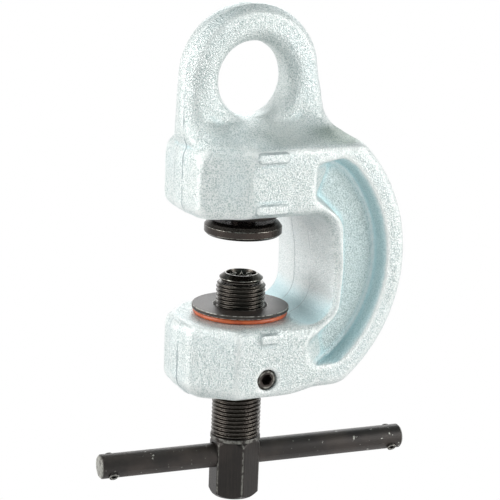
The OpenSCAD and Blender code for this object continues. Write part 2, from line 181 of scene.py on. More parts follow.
world = bpy.data.worlds.new("studio")
bpy.context.scene.world = world
world.use_nodes = True
tree = world.node_tree
where = tree.nodes.new("ShaderNodeTexCoord").outputs["Generated"]
facing = tree.nodes.new("ShaderNodeVectorMath")
facing.operation = "DOT_PRODUCT"
facing.inputs[1].default_value = CAMERA_SIDE
tree.links.new(where, facing.inputs[0])
apart = tree.nodes.new("ShaderNodeSeparateXYZ")
tree.links.new(where, apart.inputs[0])
behind = ranged(tree, facing.outputs["Value"], 0.45, 0.95)
above = ranged(tree, apart.outputs["Z"], 0.15, 0.75)
dim = sum_up(tree, "MAXIMUM", behind, above)
room = tree.nodes["Background"]
tree.links.new(mixed(tree, dim, ROOM_PALE, ROOM_DIM), room.inputs["Color"])
room.inputs["Strength"].default_value = ROOM_LIGHT
white = tree.nodes.new("ShaderNodeBackground")
white.inputs["Color"].default_value = (1, 1, 1, 1)
surfaced(tree, white_rays(tree, sum_up(tree, "SUBTRACT", 1.0, dim)), room, white, "World Output")


def soft_box(name, azimuth, elevation, distance, width, height, power, color):
    """A soft box in a direction from the clamp's middle. Azimuth 0 is the side with the gauge bars."""
    lamp = bpy.data.lights.new(name, "AREA")
    lamp.shape = "RECTANGLE"
    lamp.size, lamp.size_y = width, height
    lamp.energy = power
    lamp.color = color
    box = bpy.data.objects.new(name, lamp)
    a, e = math.radians(azimuth), math.radians(elevation)
    back = Vector((math.sin(a) * math.cos(e), -math.cos(a) * math.cos(e), math.sin(e)))
    box.location = (cad_low + cad_high) / 2 + back * distance
    box.rotation_mode = "QUATERNION"
    box.rotation_quaternion = back.to_track_quat("Z", "Y")
    bpy.context.scene.collection.objects.link(box)


soft_box("right_box", 48, 12, 1.7, 1.0, 1.3, 19, (1.0, 0.995, 0.985))
soft_box("left_box", -104, 14, 1.7, 1.2, 1.3, 21, (1.0, 0.998, 0.99))
soft_box("top_box", -75, 62, 1.8, 0.7, 0.7, 8.5, (1.0, 0.99, 0.97))
soft_box("back_box", 150, 25, 1.8, 1.2, 1.0, 10, (0.97, 0.99, 1.0))


# Forging
# The C frame is drop forged steel, trimmed along its flash line, shot blasted and coated with a pale
# silver finish. Its edges are soft, and its skin is finely pitted all over.
SKIN_CELL = 0.95 * MM
SEAM_ROUNDS = 26
SKIN_ROUNDS = 2
FLASH_HALF = 4.4 * MM
FLASH_RISE = 0.22 * MM
WAVE = 0.12 * MM
SKIN_SUNK = 0.10 * MM
BOX_GAP = 0.02 * MM
EYE_MOUTH = (18.6 * MM, 21 * MM)
EYE_CLEAR = 24 * MM
MACHINED_R = 20 * MM
MACHINED_TOP = -100 * MM
FRAME_MIDDLE = np.array([34.0, 0.0, -88.0]) * MM
THROAT_BACK = 42 * MM
THROAT_TOP = -61 * MM
THROAT_LOW = -116 * MM

# In millimetres: the height of the middle of the spine's arc, and where the recesses' floor, open side and
# near end lie
ARC_Z = -85
RECESS_FLOOR = 22
RECESS_FACE = 31.7
RECESS_START = 24


def merged_copy(node, name):
    """The node's own mesh in a new object, with the corners of its triangles joined."""
    mesh = nodes[node].data.copy()
    mesh.name = name
    build = bmesh.new()
    build.from_mesh(mesh)
    bmesh.ops.remove_doubles(build, verts=build.verts, dist=0.002 * MM)
    build.to_mesh(mesh)
    build.free()
    mesh.materials.clear()
    return place(name, mesh)


def settled(piece):
    """The piece with its modifiers applied to its mesh."""
    bpy.context.view_layer.update()
    done = bpy.data.meshes.new_from_object(piece.evaluated_get(bpy.context.evaluated_depsgraph_get()))
    piece.modifiers.clear()
    piece.data = done
    return piece


def column(mesh, which):
    """The mesh's point places or normals as an array."""
    found = np.zeros(len(mesh.vertices) * 3)
    mesh.vertices.foreach_get(which, found)
    return found.reshape(-1, 3)


def moved_to(mesh, co):
    """Puts the mesh's points at these places."""
    mesh.vertices.foreach_set("co", co.ravel())
    mesh.update()


def relaxed(mesh, co, rounds, share):
    """Points drawn towards the middle of their neighbours, round by round."""
    edges = np.zeros(len(mesh.edges) * 2, int)
    mesh.edges.foreach_get("vertices", edges)
    a, b = edges.reshape(-1, 2).T
    count = np.bincount(np.concatenate([a, b]), minlength=len(co))[:, None]
    for _ in range(rounds):
        total = np.zeros_like(co)
        for axis in range(3):
            total[:, axis] = np.bincount(a, co[b, axis], len(co)) + np.bincount(b, co[a, axis], len(co))
        co = co + (total / count - co) * share
    return co


def step(value, low, high):
    """A smooth step from 0 at low to 1 at high, on an array."""
    t = np.clip((value - low) / (high - low), 0, 1)
    return t * t * (3 - 2 * t)


def window(value, rise_from, rise_to, fall_from, fall_to):
    """1 between two smooth steps and 0 outside them, on an array."""
    return step(value, rise_from, rise_to) * (1 - step(value, fall_from, fall_to))


def point_layer(mesh, name, value):
    """Stores a value on the mesh's points."""
    layer = mesh.attributes.new(name, "FLOAT", "POINT")
    layer.data.foreach_set("value", value.astype(np.float32))


def dressed(piece, *looks):
    """The piece with these materials."""
    piece.data.materials.clear()
    for look in looks:
        piece.data.materials.append(look)
    return piece


def attached(piece, body, slot, *replaced):
    """Lets a finished piece ride a body, in place of CAD nodes. Its slot argument is not used."""
    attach(piece, body)
    if replaced:
        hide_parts(*replaced)


forging = merged_copy("forged_body", "forged_frame")
cells = forging.modifiers.new("cells", "REMESH")
cells.mode = "VOXEL"
cells.voxel_size = SKIN_CELL
cells.use_smooth_shade = True
settled(forging)

# The join of eye and jaw runs smoothly, and the machined bore keeps its edges
skin = forging.data
co = column(skin, "co")
reach = np.hypot(co[:, 0], co[:, 2])
seam = window(co[:, 2], -31 * MM, -25 * MM, 4 * MM, 12 * MM) * step(reach, *EYE_MOUTH)
co = relaxed(skin, co, SEAM_ROUNDS, 0.5 * seam[:, None])
machined = (np.hypot(co[:, 0], co[:, 1]) < MACHINED_R) & (co[:, 2] < MACHINED_TOP)
co = relaxed(skin, co, SKIN_ROUNDS, np.where(machined, 0.1, 0.5)[:, None])
moved_to(skin, co)

# The trimmed flash stands a little proud along the middle of every outer face
out = column(skin, "normal")
rim = 1 - step(np.abs(out[:, 1]), 0.25, 0.5)
outward = ((co - FRAME_MIDDLE) * out).sum(1) > 0
in_throat = (co[:, 0] < THROAT_BACK) & (co[:, 2] < THROAT_TOP) & (co[:, 2] > THROAT_LOW)
flash = rim * outward * ~in_throat * (reach > EYE_CLEAR)
band = 1 - step(np.abs(co[:, 1]), FLASH_HALF - 0.5 * MM, FLASH_HALF + 0.5 * MM)
wave = np.array([noise.noise(Vector(p) * 110) + 0.5 * noise.noise(Vector(p) * 260) for p in co])
rise = FLASH_RISE * flash * band + WAVE * wave * ~machined
co = co + out * (rise - SKIN_SUNK)[:, None]
skin_low, skin_high = (np.array(corner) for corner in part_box("forged_body"))
co = np.clip(co, skin_low + BOX_GAP, skin_high - BOX_GAP)
moved_to(skin, co)

# How far each point stands out of what is close to it and sinks below what is further round it, and how
# far it looks towards the middle of the spine's arc
out = column(skin, "normal")
proud = ((co - relaxed(skin, co, 10, 0.5)) * out).sum(1)
sunk = ((relaxed(skin, co, 60, 0.5) - co) * out).sum(1)
x, y, z = co.T / MM
y = np.abs(y)
arc = np.hypot(x, z - ARC_Z)
inward = -(out[:, 0] * x + out[:, 2] * (z - ARC_Z)) / arc
# Masks for the painted light and shade in the recesses and on the slope and ledge at the eye's foot
in_recess = (y > RECESS_FLOOR) & (y < RECESS_FACE) & (x > RECESS_START)
curved = in_recess * step(arc, 50, 55)
slope = step(out[:, 2], 0.5, 0.85) * window(z, -29.4, -27.6, -24, -20)
ledge = window(z, -32.2, -31, -29.9, -29) * step(y, 27, 29)

# Values stored on the skin for its coat: a painted highlight on proud edges, painted bluish shade in hollows
# and broad dips, the flash, painted light on the throat wall and painted bluish shade in its lower corner,
# painted bluish light on the recesses' curved walls, painted light on their fillets and painted shade on
# their floors, painted shadow on the slope at the eye's foot, and a painted highlight on its ledge and its
# fillet
layers = {
    "edge": step(proud, 0.05 * MM, 0.21 * MM),
    "hollow": step(-proud, 0.05 * MM, 0.30 * MM),
    "sunk": step(sunk, 0.25 * MM, 1.6 * MM),
    "flash": flash,
    "throat": in_throat * rim * (x > 20),
    "corner": in_throat * rim * step(x, 12, 22) * (1 - step(z, -112, -102)),
    "wall": curved * step(inward, 0.5, 0.8),
    "fillet": curved * window(inward, 0.08, 0.25, 0.45, 0.75),
    "floor": in_recess * step(np.abs(out[:, 1]), 0.75, 0.95) * (1 - step(y, 26, 28)),
    "slope": slope * (0.25 * step(x, -6, 6) + 0.75 * step(x, 20, 40)),
    "ledge": ledge * window(x, -20, -12, 40, 50),
    "eye_foot": (1 - step(np.hypot(x - 13, z + 19), 4, 15)) * step(out[:, 2], 0.2, 0.6)}
for name, value in layers.items():
    point_layer(skin, name, value)


def node_group(name, inputs, outputs):
    """An empty shader node group with named sockets, each given as (name, kind, start value)."""
    group = bpy.data.node_groups.new(name, "ShaderNodeTree")
    for label, kind, start in inputs:
        socket = group.interface.new_socket(label, in_out="INPUT", socket_type="NodeSocket" + kind)
        if start is not None:
            socket.default_value = start
    for label, kind in outputs:
        group.interface.new_socket(label, in_out="OUTPUT", socket_type="NodeSocket" + kind)
    return group, group.nodes.new("NodeGroupInput"), group.nodes.new("NodeGroupOutput")


def noise_of(tree, place_socket, scale, detail=2.0, rough=0.5):
    """A noise texture's value, at a scale per metre."""
    made = tree.nodes.new("ShaderNodeTexNoise")
    made.inputs["Scale"].default_value = scale
    made.inputs["Detail"].default_value = detail
    made.inputs["Roughness"].default_value = rough
    tree.links.new(place_socket, made.inputs["Vector"])
    return made.outputs["Fac"]


def object_place(tree):
    """The Object coordinate."""
    return tree.nodes.new("ShaderNodeTexCoord").outputs["Object"]


def stretched(tree, place_socket, scale):
    """A place with its three axes scaled."""
    made = tree.nodes.new("ShaderNodeVectorMath")
    made.operation = "MULTIPLY"
    made.inputs[1].default_value = scale
    tree.links.new(place_socket, made.inputs[0])
    return made.outputs[0]


def point_value(tree, name):
    """A value that is stored on the piece's points."""
    made = tree.nodes.new("ShaderNodeAttribute")
    made.attribute_name = name
    return made.outputs["Fac"]


def bumped(tree, shader, height, strength, depth):
    """Sends a height to the shader's normal through a Bump node."""
    made = tree.nodes.new("ShaderNodeBump")
    made.inputs["Strength"].default_value = strength
    made.inputs["Distance"].default_value = depth
    tree.links.new(height, made.inputs["Height"])
    tree.links.new(made.outputs["Normal"], shader.inputs["Normal"])


def grouped(tree, group, **values):
    """A group node in a material, with sockets or numbers for its inputs."""
    made = tree.nodes.new("ShaderNodeGroup")
    made.node_tree = group
    for label, value in values.items():
        if isinstance(value, (int, float)):
            made.inputs[label].default_value = value
        else:
            tree.links.new(value, made.inputs[label])
    return made


# Blasted skin: small rounded pits of two sizes, as a height and as a darker speckle
blasted, source, sink = node_group(
    "blasted_skin", [("Place", "Vector", None), ("Pits", "Float", 1500.0)],
    [("Height", "Float"), ("Speckle", "Float")])
fine = blasted.nodes.new("ShaderNodeTexVoronoi")
fine.feature = "SMOOTH_F1"
fine.inputs["Smoothness"].default_value = 0.6
blasted.links.new(source.outputs["Place"], fine.inputs["Vector"])
blasted.links.new(source.outputs["Pits"], fine.inputs["Scale"])
soft = noise_of(blasted, source.outputs["Place"], 1500.0, 2.0, 0.6)
broad = noise_of(blasted, source.outputs["Place"], 420.0, 2.0, 0.5)
pits = sum_up(blasted, "MULTIPLY_ADD", fine.outputs["Distance"], 0.55, soft)
blasted.links.new(sum_up(blasted, "MULTIPLY_ADD", broad, 0.7, pits), sink.inputs["Height"])
speckle = sum_up(blasted, "MULTIPLY_ADD", broad, 0.12, soft)
blasted.links.new(ranged(blasted, speckle, 0.44, 0.76), sink.inputs["Speckle"])

# Painted shade: the dark line painted where a raised bar meets the forging, from the distance to its rounded
# outline
outline, source, sink = node_group(
    "bar_shade_line", [("Place", "Vector", None), ("Middle X", "Float", 0.0), ("Middle Z", "Float", 0.0),
                    ("Wide", "Float", 0.016), ("High", "Float", 0.0042), ("Round", "Float", 0.0015)],
    [("Line", "Float")])
apart = outline.nodes.new("ShaderNodeSeparateXYZ")
outline.links.new(source.outputs["Place"], apart.inputs[0])
past = []
for axis, middle, length in (("X", "Middle X", "Wide"), ("Z", "Middle Z", "High")):
    off = sum_up(outline, "SUBTRACT", apart.outputs[axis], source.outputs[middle])
    off = sum_up(outline, "ABSOLUTE", off)
    inner = sum_up(outline, "MULTIPLY", source.outputs[length], 0.5)
    inner = sum_up(outline, "SUBTRACT", inner, source.outputs["Round"])
    past.append(sum_up(outline, "SUBTRACT", off, inner))
square = [sum_up(outline, "POWER", sum_up(outline, "MAXIMUM", value, 0.0), 2.0) for value in past]
away = sum_up(outline, "SQRT", sum_up(outline, "ADD", *square))
away = sum_up(outline, "ADD", away, sum_up(outline, "MINIMUM", sum_up(outline, "MAXIMUM", *past), 0.0))
away = sum_up(outline, "SUBTRACT", away, source.outputs["Round"])
away = sum_up(outline, "ABSOLUTE", sum_up(outline, "SUBTRACT", away, 0.25 * MM))
near_side = ranged(outline, apart.outputs["Y"], -31.0 * MM, -30.0 * MM, 1.0, 0.0)
dark = ranged(outline, away, 0.1 * MM, 0.55 * MM, 1.0, 0.0)
outline.links.new(sum_up(outline, "MULTIPLY", dark, near_side), sink.inputs["Line"])

BARS = ((-1.8, -32.7, 15.6), (-1.8, -57.2, 16.4), (-0.2, -119.9, 9.4))
BAR_HIGH = 4.2
SILVER = (0.795, 0.815, 0.80, 1)
SILVER_DARK = (0.36, 0.44, 0.43, 1)
SILVER_COOL = (0.66, 0.76, 0.78, 1)
SILVER_PAINTED_HIGHLIGHT = (0.93, 0.94, 0.92, 1)
LINE_DARK = (0.26, 0.32, 0.34, 1)
BAR_PAINTED_SHADE = (0.30, 0.36, 0.37, 1)
STRIP_HALF = 8 * MM

# Painted light and shade on the coat by place: the stored value, its share, the colour, and how the colour is
# laid on
PAINTED_LIGHT_AND_SHADE = (
    ("throat", 0.5, (0.92, 0.95, 0.95, 1), "MIX"),
    ("sunk", 0.45, (0.64, 0.84, 0.86, 1), "MIX"),
    ("hollow", 0.4, (0.52, 0.72, 0.76, 1), "MIX"),
    ("floor", 1.0, (0.82, 0.89, 0.90, 1), "MULTIPLY"),
    ("fillet", 0.4, (0.96, 0.97, 0.96, 1), "MIX"),
    ("wall", 0.55, (0.50, 0.76, 0.81, 1), "MIX"),
    ("slope", 0.95, (0.30, 0.36, 0.31, 1), "MULTIPLY"),
    ("ledge", 0.6, SILVER_PAINTED_HIGHLIGHT, "MIX"),
    ("eye_foot", 0.4, SILVER_PAINTED_HIGHLIGHT, "MIX"),
    ("corner", 0.55, (0.62, 0.92, 0.98, 1), "MIX"),
    ("edge", 0.55, (0.92, 0.93, 0.91, 1), "MIX"))

# Dark broken lines beside the flash and beside the throat's ground strip: the stored value that bounds
# them, their distance from the middle, inner and outer half width and strength, and the breaks' noise
LINES = (
    ("flash", FLASH_HALF, 0.15 * MM, 0.6 * MM, 1.0, 90.0, 0.32, 0.55),
    ("throat", STRIP_HALF, 0.1 * MM, 0.4 * MM, 0.7, 70.0, 0.35, 0.5))

silver, tree, shader = new_material("silver_coat")
where = object_place(tree)
grain = grouped(tree, blasted, Place=where)
body = mixed(tree, sum_up(tree, "MULTIPLY", grain.outputs["Speckle"], 0.95), SILVER, SILVER_DARK)
body = mixed(tree, ranged(tree, noise_of(tree, where, 45.0), 0.35, 0.75, 0.0, 0.25), body, SILVER_COOL)
for layer, share, color, kind in PAINTED_LIGHT_AND_SHADE:
    body = mixed(tree, sum_up(tree, "MULTIPLY", point_value(tree, layer), share), body, color, kind)
apart = tree.nodes.new("ShaderNodeSeparateXYZ")
tree.links.new(where, apart.inputs[0])
aside = sum_up(tree, "ABSOLUTE", apart.outputs["Y"])
line = 0.0
for layer, middle, inner, outer, strength, scale, low, high in LINES:
    drawn = sum_up(tree, "ABSOLUTE", sum_up(tree, "SUBTRACT", aside, middle))
    drawn = ranged(tree, drawn, inner, outer, strength, 0.0)
    drawn = sum_up(tree, "MULTIPLY", drawn, point_value(tree, layer))
    breaks = ranged(tree, noise_of(tree, where, scale, 3.0, 0.6), low, high)
    line = sum_up(tree, "MAXIMUM", sum_up(tree, "MULTIPLY", drawn, breaks), line)
body = mixed(tree, sum_up(tree, "MULTIPLY", line, 0.75), body, LINE_DARK)
# Painted shade round each gauge bar, where it meets the forging
bar_shade_mask = 0.0
for x, z, wide in BARS:
    sizes = {"Middle X": x * MM, "Middle Z": z * MM, "Wide": wide * MM, "High": BAR_HIGH * MM}
    drawn = grouped(tree, outline, Place=where, **sizes)
    bar_shade_mask = sum_up(tree, "MAXIMUM", drawn.outputs["Line"], bar_shade_mask)
body = mixed(tree, sum_up(tree, "MULTIPLY", bar_shade_mask, 0.6), body, BAR_PAINTED_SHADE)
tree.links.new(body, shader.inputs["Base Color"])
rough = sum_up(tree, "MULTIPLY_ADD", grain.outputs["Speckle"], 0.16, 0.36)
tree.links.new(rough, shader.inputs["Roughness"])
shader.inputs["Metallic"].default_value = 0.55
height = sum_up(tree, "MULTIPLY_ADD", line, -0.6, grain.outputs["Height"])
bumped(tree, shader, height, 1.0, 0.42 * MM)
attached(dressed(forging, silver), "frame", "forging", "forged_body")

# Gauge bars
# Three short raised bars on one side show where to measure the opening. They are part of the forging,
# with crisp rounded ends, and stand about 1.2 mm proud of its face.
BAR_FACE = -33.15
BAR_ROOT = -31.0
BAR_ROUND = 1.5
BAR_SOFT = 0.6
for i, (x, z, wide) in enumerate(BARS):
    build = bmesh.new()
    bmesh.ops.create_cube(build, size=1)
    size = Vector((wide, BAR_ROOT - BAR_FACE, BAR_HIGH))
    middle = Vector((x, (BAR_FACE + BAR_ROOT) / 2, z))
    for vert in build.verts:
        vert.co = (vert.co * size + middle) * MM
    across = [e for e in build.edges if abs(e.verts[0].co.y - e.verts[1].co.y) > 0.5 * MM]
    bmesh.ops.bevel(build, geom=across, offset=BAR_ROUND * MM, segments=6, profile=0.5, affect="EDGES")
    around = [e for e in build.edges if all(v.co.y < (BAR_FACE + 0.01) * MM for v in e.verts)]
    bmesh.ops.bevel(build, geom=around, offset=BAR_SOFT * MM, segments=4, profile=0.5, affect="EDGES")
    mesh = bpy.data.meshes.new(f"gauge_bar_{i + 1}")
    build.to_mesh(mesh)
    build.free()
    # A painted highlight: the outer part of each bar gets an edge value, which the coat paints lighter
    point_layer(mesh, "edge", 0.35 * (column(mesh, "co")[:, 1] < (BAR_ROOT - 1) * MM))
    mesh.shade_smooth()
    mesh.set_sharp_from_angle(angle=math.radians(50))
    attached(dressed(place(f"gauge_bar_{i + 1}", mesh), silver), "frame", "forging")

# Threaded bush, seal ring and set screw
# The bush is turned steel with an oiled black oxide finish, pressed into the lower jaw and locked by the
# set screw in its side. An orange elastomer ring under its flange keeps grit out.
BLACK = (0.023, 0.0190, 0.017, 1)
BROWN = (0.064, 0.049, 0.041, 1)
BARE = (0.50, 0.49, 0.44, 1)
BLOOM_SHARE = 0.6
MARK_SHARE = 0.35
MARK_HEIGHT = 1.6
OILED = (0.075, 0.068, 0.060, 1)
OILED_BROWN = (0.13, 0.115, 0.10, 1)
ORANGE = (0.62, 0.13, 0.04, 1)
ORANGE_DARK = (0.48, 0.085, 0.028, 1)
FILM_THICK = 0.05 * MM
SEAT_Z = -115.1
FLANGE_R = 23.5
FLANGE_LOW = SEAT_Z + 2.6
FLANGE_TOP = SEAT_Z + 4.45
SHOULDER_R = 19.9
BUSH_R = 17.95
BUSH_LOW = -149.4
BUSH_BORE_R = 12.05
BUSH_MOUTH = 1.25
BUSH_LIFT = 0.02
SET_Z = -140.4


def softened(profile, size, steps=4):
    """A profile of (radius, height) in mm with its corners rounded. Its two ends are kept as they are."""
    points = [Vector(p) for p in profile]
    out = [points[0]]
    for before, here, after in zip(points, points[1:], points[2:]):
        u, v = before - here, after - here
        r = min(size, u.length * 0.45, v.length * 0.45)
        reach_u, reach_v = min(r * 1.25, u.length * 0.49), min(r * 1.25, v.length * 0.49)
        u, v = u.normalized(), v.normalized()
        if r < 1e-3 or abs(u.dot(v) + 1) < 1e-4:
            out.append(here)
            continue
        out.append(here + u * reach_u)
        for k in range(steps + 1):
            t = k / steps
            out.append((here + u * r) * (1 - t) ** 2 + here * 2 * t * (1 - t) + (here + v * r) * t ** 2)
        out.append(here + v * reach_v)
    return out + [points[-1]]


def turned(name, profile, size=0.3, count=128, closed=False):
    """A body of revolution about Z from a profile of (radius, height) in mm, its convex corners marked."""
    if closed:
        start = (Vector(profile[0]) + Vector(profile[-1])) / 2
        profile = [start, *profile, start]
    path = np.array([tuple(p) for p in softened(profile, size)])
    leg = np.diff(path, axis=0)
    lean = np.diff(np.arctan2(leg[:, 1], leg[:, 0]))
    lean = np.degrees((lean + np.pi) % (2 * np.pi) - np.pi)
    after = np.roll(path, -1, 0)
    way = np.sign((path[:, 0] * after[:, 1] - after[:, 0] * path[:, 1]).sum())
    edge = step(np.concatenate([[0], lean * way, [0]]), 6, 14)
    turn = np.linspace(0, 2 * np.pi, count, endpoint=False)
    co = np.stack([np.outer(np.cos(turn), path[:, 0]), np.outer(np.sin(turn), path[:, 0]),
                   np.outer(np.ones(count), path[:, 1])], -1).reshape(-1, 3) * MM
    m = len(path)
    faces = [(i * m + j, (i + 1) % count * m + j, (i + 1) % count * m + j + 1, i * m + j + 1)
             for i in range(count) for j in range(m - 1)]
    mesh = bpy.data.meshes.new(name)
    mesh.from_pydata(co.tolist(), [], faces)
    point_layer(mesh, "edge", np.tile(edge, count))
    return place(name, welded(mesh, 40))


def welded(mesh, angle):
    """The mesh with equal points joined, its faces turned outward, and smooth below this angle."""
    build = bmesh.new()
    build.from_mesh(mesh)
    bmesh.ops.remove_doubles(build, verts=build.verts, dist=0.001 * MM)
    bmesh.ops.recalc_face_normals(build, faces=build.faces)
    build.to_mesh(mesh)
    build.free()
    return smoothed(mesh, angle)


def smoothed(mesh, angle):
    """The mesh, shaded smooth where it turns by less than this angle."""
    mesh.shade_smooth()
    mesh.set_sharp_from_angle(angle=math.radians(angle))
    return mesh


oxide, source, sink = node_group(
    "oxide_bloom", [("Place", "Vector", None), ("Cloud", "Float", 60.0), ("Grit", "Float", 1400.0)],
    [("Bloom", "Float"), ("Height", "Float")])
cloud = oxide.nodes.new("ShaderNodeTexNoise")
cloud.inputs["Detail"].default_value = 4.0
grit = oxide.nodes.new("ShaderNodeTexNoise")
grit.inputs["Detail"].default_value = 3.0
for texture, label in ((cloud, "Cloud"), (grit, "Grit")):
    oxide.links.new(source.outputs["Place"], texture.inputs["Vector"])
    oxide.links.new(source.outputs[label], texture.inputs["Scale"])
oxide.links.new(ranged(oxide, cloud.outputs["Fac"], 0.35, 0.7), sink.inputs["Bloom"])
oxide.links.new(grit.outputs["Fac"], sink.inputs["Height"])


def black_look(name, rough, bump, marks=None, wear=None, metal=0.5, black=BLACK, brown=BROWN):
    """A black oxide finish. marks(tree, place) adds tool marks, and wear(tree, place) bares the steel."""
    made, tree, shader = new_material(name)
    where = object_place(tree)
    film = grouped(tree, oxide, Place=where)
    color = mixed(tree, sum_up(tree, "MULTIPLY", film.outputs["Bloom"], BLOOM_SHARE), black, brown)
    height = film.outputs["Height"]
    if marks is not None:
        mark = marks(tree, where)
        height = sum_up(tree, "MULTIPLY_ADD", mark, MARK_HEIGHT, height)
        color = mixed(tree, sum_up(tree, "MULTIPLY", mark, MARK_SHARE), color, brown)
    if wear is not None:
        color = mixed(tree, wear(tree, where), color, BARE)
    tree.links.new(color, shader.inputs["Base Color"])
    uneven = sum_up(tree, "MULTIPLY_ADD", film.outputs["Height"], 0.2, rough)
    tree.links.new(uneven, shader.inputs["Roughness"])
    shader.inputs["Metallic"].default_value = metal
    bumped(tree, shader, height, bump, FILM_THICK)
    return made


def turning_rings(tree, where):
    """Fine rings that a lathe tool leaves on a face."""
    made = tree.nodes.new("ShaderNodeVectorMath")
    made.operation = "LENGTH"
    tree.links.new(stretched(tree, where, (1, 1, 0)), made.inputs[0])
    away = tree.nodes.new("ShaderNodeCombineXYZ")
    tree.links.new(made.outputs["Value"], away.inputs[0])
    return ranged(tree, noise_of(tree, away.outputs[0], 2600.0, 2.0, 0.7), 0.35, 0.7)


def edge_wear(tree, where):
    """Bare steel where the piece's stored edge value is high, broken up by noise."""
    patchy = ranged(tree, noise_of(tree, where, 420.0, 3.0, 0.6), 0.36, 0.62)
    return sum_up(tree, "MULTIPLY", point_value(tree, "edge"), patchy, clamp=True)


def rimmed(piece, width, segments=2, **more):
    """The piece with its sharp edges broken by a small bevel."""
    rims = piece.modifiers.new("rims", "BEVEL")
    rims.width = width * MM
    rims.segments = segments
    rims.limit_method = "ANGLE"
    rims.angle_limit = math.radians(30)
    for label, value in more.items():
        setattr(rims, label, value)
    settled(piece)
    smoothed(piece.data, 35)
    return piece


turned_black = black_look("turned_oxide", 0.34, 0.4, marks=turning_rings, wear=edge_wear, metal=0.4)
bush = turned("threaded_bush", [
    (BUSH_BORE_R, FLANGE_TOP - BUSH_MOUTH), (BUSH_BORE_R, BUSH_LOW), (BUSH_R, BUSH_LOW),
    (BUSH_R, SEAT_Z + BUSH_LIFT), (SHOULDER_R, SEAT_Z + BUSH_LIFT), (SHOULDER_R, FLANGE_LOW),
    (FLANGE_R, FLANGE_LOW), (FLANGE_R, FLANGE_TOP), (BUSH_BORE_R + BUSH_MOUTH, FLANGE_TOP)], 0.35,
    closed=True)
attached(dressed(bush, turned_black), "frame", "blackened_steel", "threaded_bush")

plain_black = black_look("plain_oxide", 0.32, 0.3)


def rubbed_ring(tree, where):
    """Steel that a key has bared round the set screw's socket."""
    made = tree.nodes.new("ShaderNodeVectorMath")
    made.operation = "DISTANCE"
    made.inputs[1].default_value = (0, 0, SET_Z * MM)
    tree.links.new(stretched(tree, where, (1, 0, 1)), made.inputs[0])
    inside = ranged(tree, made.outputs["Value"], 3.3 * MM, 3.7 * MM)
    outside = ranged(tree, made.outputs["Value"], 4.3 * MM, 4.8 * MM, 1.0, 0.0)
    patchy = ranged(tree, noise_of(tree, where, 380.0), 0.35, 0.65, 0.05, 0.55)
    return sum_up(tree, "MULTIPLY", sum_up(tree, "MULTIPLY", inside, outside), patchy)


dressed(nodes["bush_set_screw"], black_look("set_screw_oxide", 0.40, 0.3, wear=rubbed_ring, metal=0.6))

rubber, tree, shader = new_material("orange_seal")
where = object_place(tree)
cloudy = ranged(tree, noise_of(tree, where, 300.0), 0.3, 0.7)
tree.links.new(mixed(tree, cloudy, ORANGE, ORANGE_DARK), shader.inputs["Base Color"])
shader.inputs["Roughness"].default_value = 0.36
bumped(tree, shader, noise_of(tree, where, 1500.0), 0.2, FILM_THICK)
dressed(nodes["seal_ring"], rubber)

# Clamp screw
# An M24 x 2 screw with a rolled thread, a collar and a hexagon head with a cross hole for the tee bar. It is
# oiled black oxide too, bright along the hexagon's edges.
THREAD_PITCH = 2.0
THREAD_DEPTH = 1.23
THREAD_CREST = 12.0
THREAD_TOP = -99.3
THREAD_CHAMFER = 1.2
THREAD_SIDES = 96
HEAD_TOP = -178.5
HEAD_LOW = -207.6
HEAD_BLACK = (0.015, 0.0125, 0.011, 1)
HEAD_BROWN = (0.040, 0.031, 0.026, 1)
COLLAR_R = 12.3
COLLAR_TOP = HEAD_TOP + 2.2
COLLAR_BEVEL = 0.5
HEX_R = 11.0
HEX_LIMIT = 12.35
HEX_LOW_CUT = 0.8
HEX_LOW_SLOPE = 1.1
HEX_TOP_SLOPE = 0.62
HEX_BRIGHT = 28.4
HEX_TURN = math.radians(23)
HOLE_Z = -186.85
HOLE_R = 6.3
BAR_TURN = math.radians(-7)
ROWS_PER_TURN = 12


def flow(name, inputs):
    """An empty geometry node tree with named inputs given as (name, kind, value), and its two ends."""
    tree = bpy.data.node_groups.new(name, "GeometryNodeTree")
    tree.interface.new_socket("Geometry", in_out="INPUT", socket_type="NodeSocketGeometry")
    for label, kind, _ in inputs:
        tree.interface.new_socket(label, in_out="INPUT", socket_type="NodeSocket" + kind)
    tree.interface.new_socket("Geometry", in_out="OUTPUT", socket_type="NodeSocketGeometry")
    return tree, tree.nodes.new("NodeGroupInput"), tree.nodes.new("NodeGroupOutput")


def ended(tree, source, sink, geometry):
    """Ends a geometry node tree in real geometry with its material."""
    real = tree.nodes.new("GeometryNodeRealizeInstances")
    dress = tree.nodes.new("GeometryNodeSetMaterial")
    tree.links.new(geometry, real.inputs[0])
    tree.links.new(real.outputs[0], dress.inputs["Geometry"])
    tree.links.new(source.outputs["Material"], dress.inputs["Material"])
    tree.links.new(dress.outputs[0], sink.inputs[0])


def grown(name, tree, inputs):
    """A new piece whose mesh is what a geometry node tree makes."""
    piece = place(name, bpy.data.meshes.new(name))
    maker = piece.modifiers.new("maker", "NODES")
    maker.node_group = tree
    sockets = {s.name: s.identifier for s in tree.interface.items_tree if s.in_out == "INPUT"}
    for label, _, value in inputs:
        maker[sockets[label]] = value
    return settled(piece)


def along(tree, x=0, y=0, z=0):
    """A vector from numbers or sockets."""
    made = tree.nodes.new("ShaderNodeCombineXYZ")
    for socket, value in zip(made.inputs, (x, y, z)):
        if isinstance(value, (int, float)):
            socket.default_value = value
        else:
            tree.links.new(value, socket)
    return made.outputs[0]


def shifted(tree, geometry, translation=None, rotation=None, scale=None):
    """Geometry through a Transform node, each change given as a vector socket."""
    made = tree.nodes.new("GeometryNodeTransform")
    tree.links.new(geometry, made.inputs["Geometry"])
    for label, value in (("Translation", translation), ("Rotation", rotation), ("Scale", scale)):
        if value is not None:
            tree.links.new(value, made.inputs[label])
    return made.outputs[0]


def thread_dents(tree, where):
    """Small nicks and thick oil along the thread, which break its shine up."""
    return ranged(tree, noise_of(tree, where, 620.0, 3.0, 0.6), 0.42, 0.62)


